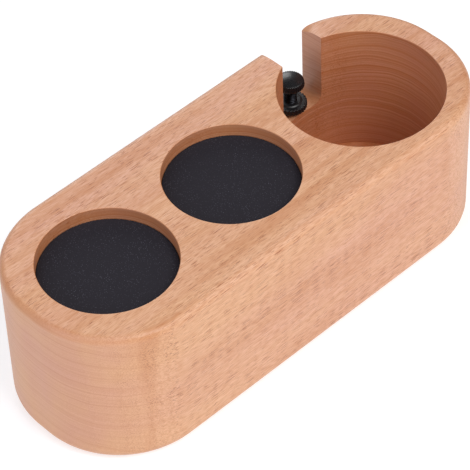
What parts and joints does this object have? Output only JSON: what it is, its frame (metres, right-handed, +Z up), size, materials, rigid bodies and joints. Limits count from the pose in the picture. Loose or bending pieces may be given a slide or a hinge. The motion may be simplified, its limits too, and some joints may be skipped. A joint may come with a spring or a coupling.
{
  "type": "espresso tamping station",
  "caption": "Wooden bench station with two padded rests and a deep notched well, with a height-adjustable support for a handle.",
  "frame": {"origin": "centre of the underside of the non-slip sheet, under the middle of the block", "axes": "+X along the block towards the well, -Y towards the front, +Y towards the notched back wall, +Z up"},
  "size_m": [0.236, 0.0932, 0.0745],
  "materials": {
    "beech": "oiled solid beech with fine flecks along the grain, satin",
    "pad": "matte black closed-cell foam rubber with a fine speckle",
    "sheet": "thin matte black non-slip rubber",
    "insert": "turned brass",
    "stud": "black oxide steel with a machined thread",
    "cap": "black moulded plastic, satin dome and ribbed side",
    "nut": "black moulded plastic with a scalloped grip"
  },
  "bodies": {
    "station": {"block": "beech", "left_pad": "pad", "middle_pad": "pad", "non_slip_sheet": "sheet", "threaded_insert": "insert"},
    "support_screw": {"support_stud": "stud", "support_cap": "cap"},
    "lock_nut": {"lock_nut": "nut"}
  },
  "joints": [
    {"name": "support_travel", "type": "slide", "parent": "station", "child": "support_screw", "axis": [0, 0, 1], "range_m": [-0.0082, 0.006]},
    {"name": "nut_turn", "type": "hinge", "parent": "station", "child": "lock_nut", "pos_m": [0.068, 0.04003, 0.0385], "axis": [0, 0, 1], "range_deg": [0, 180]}
  ]
}
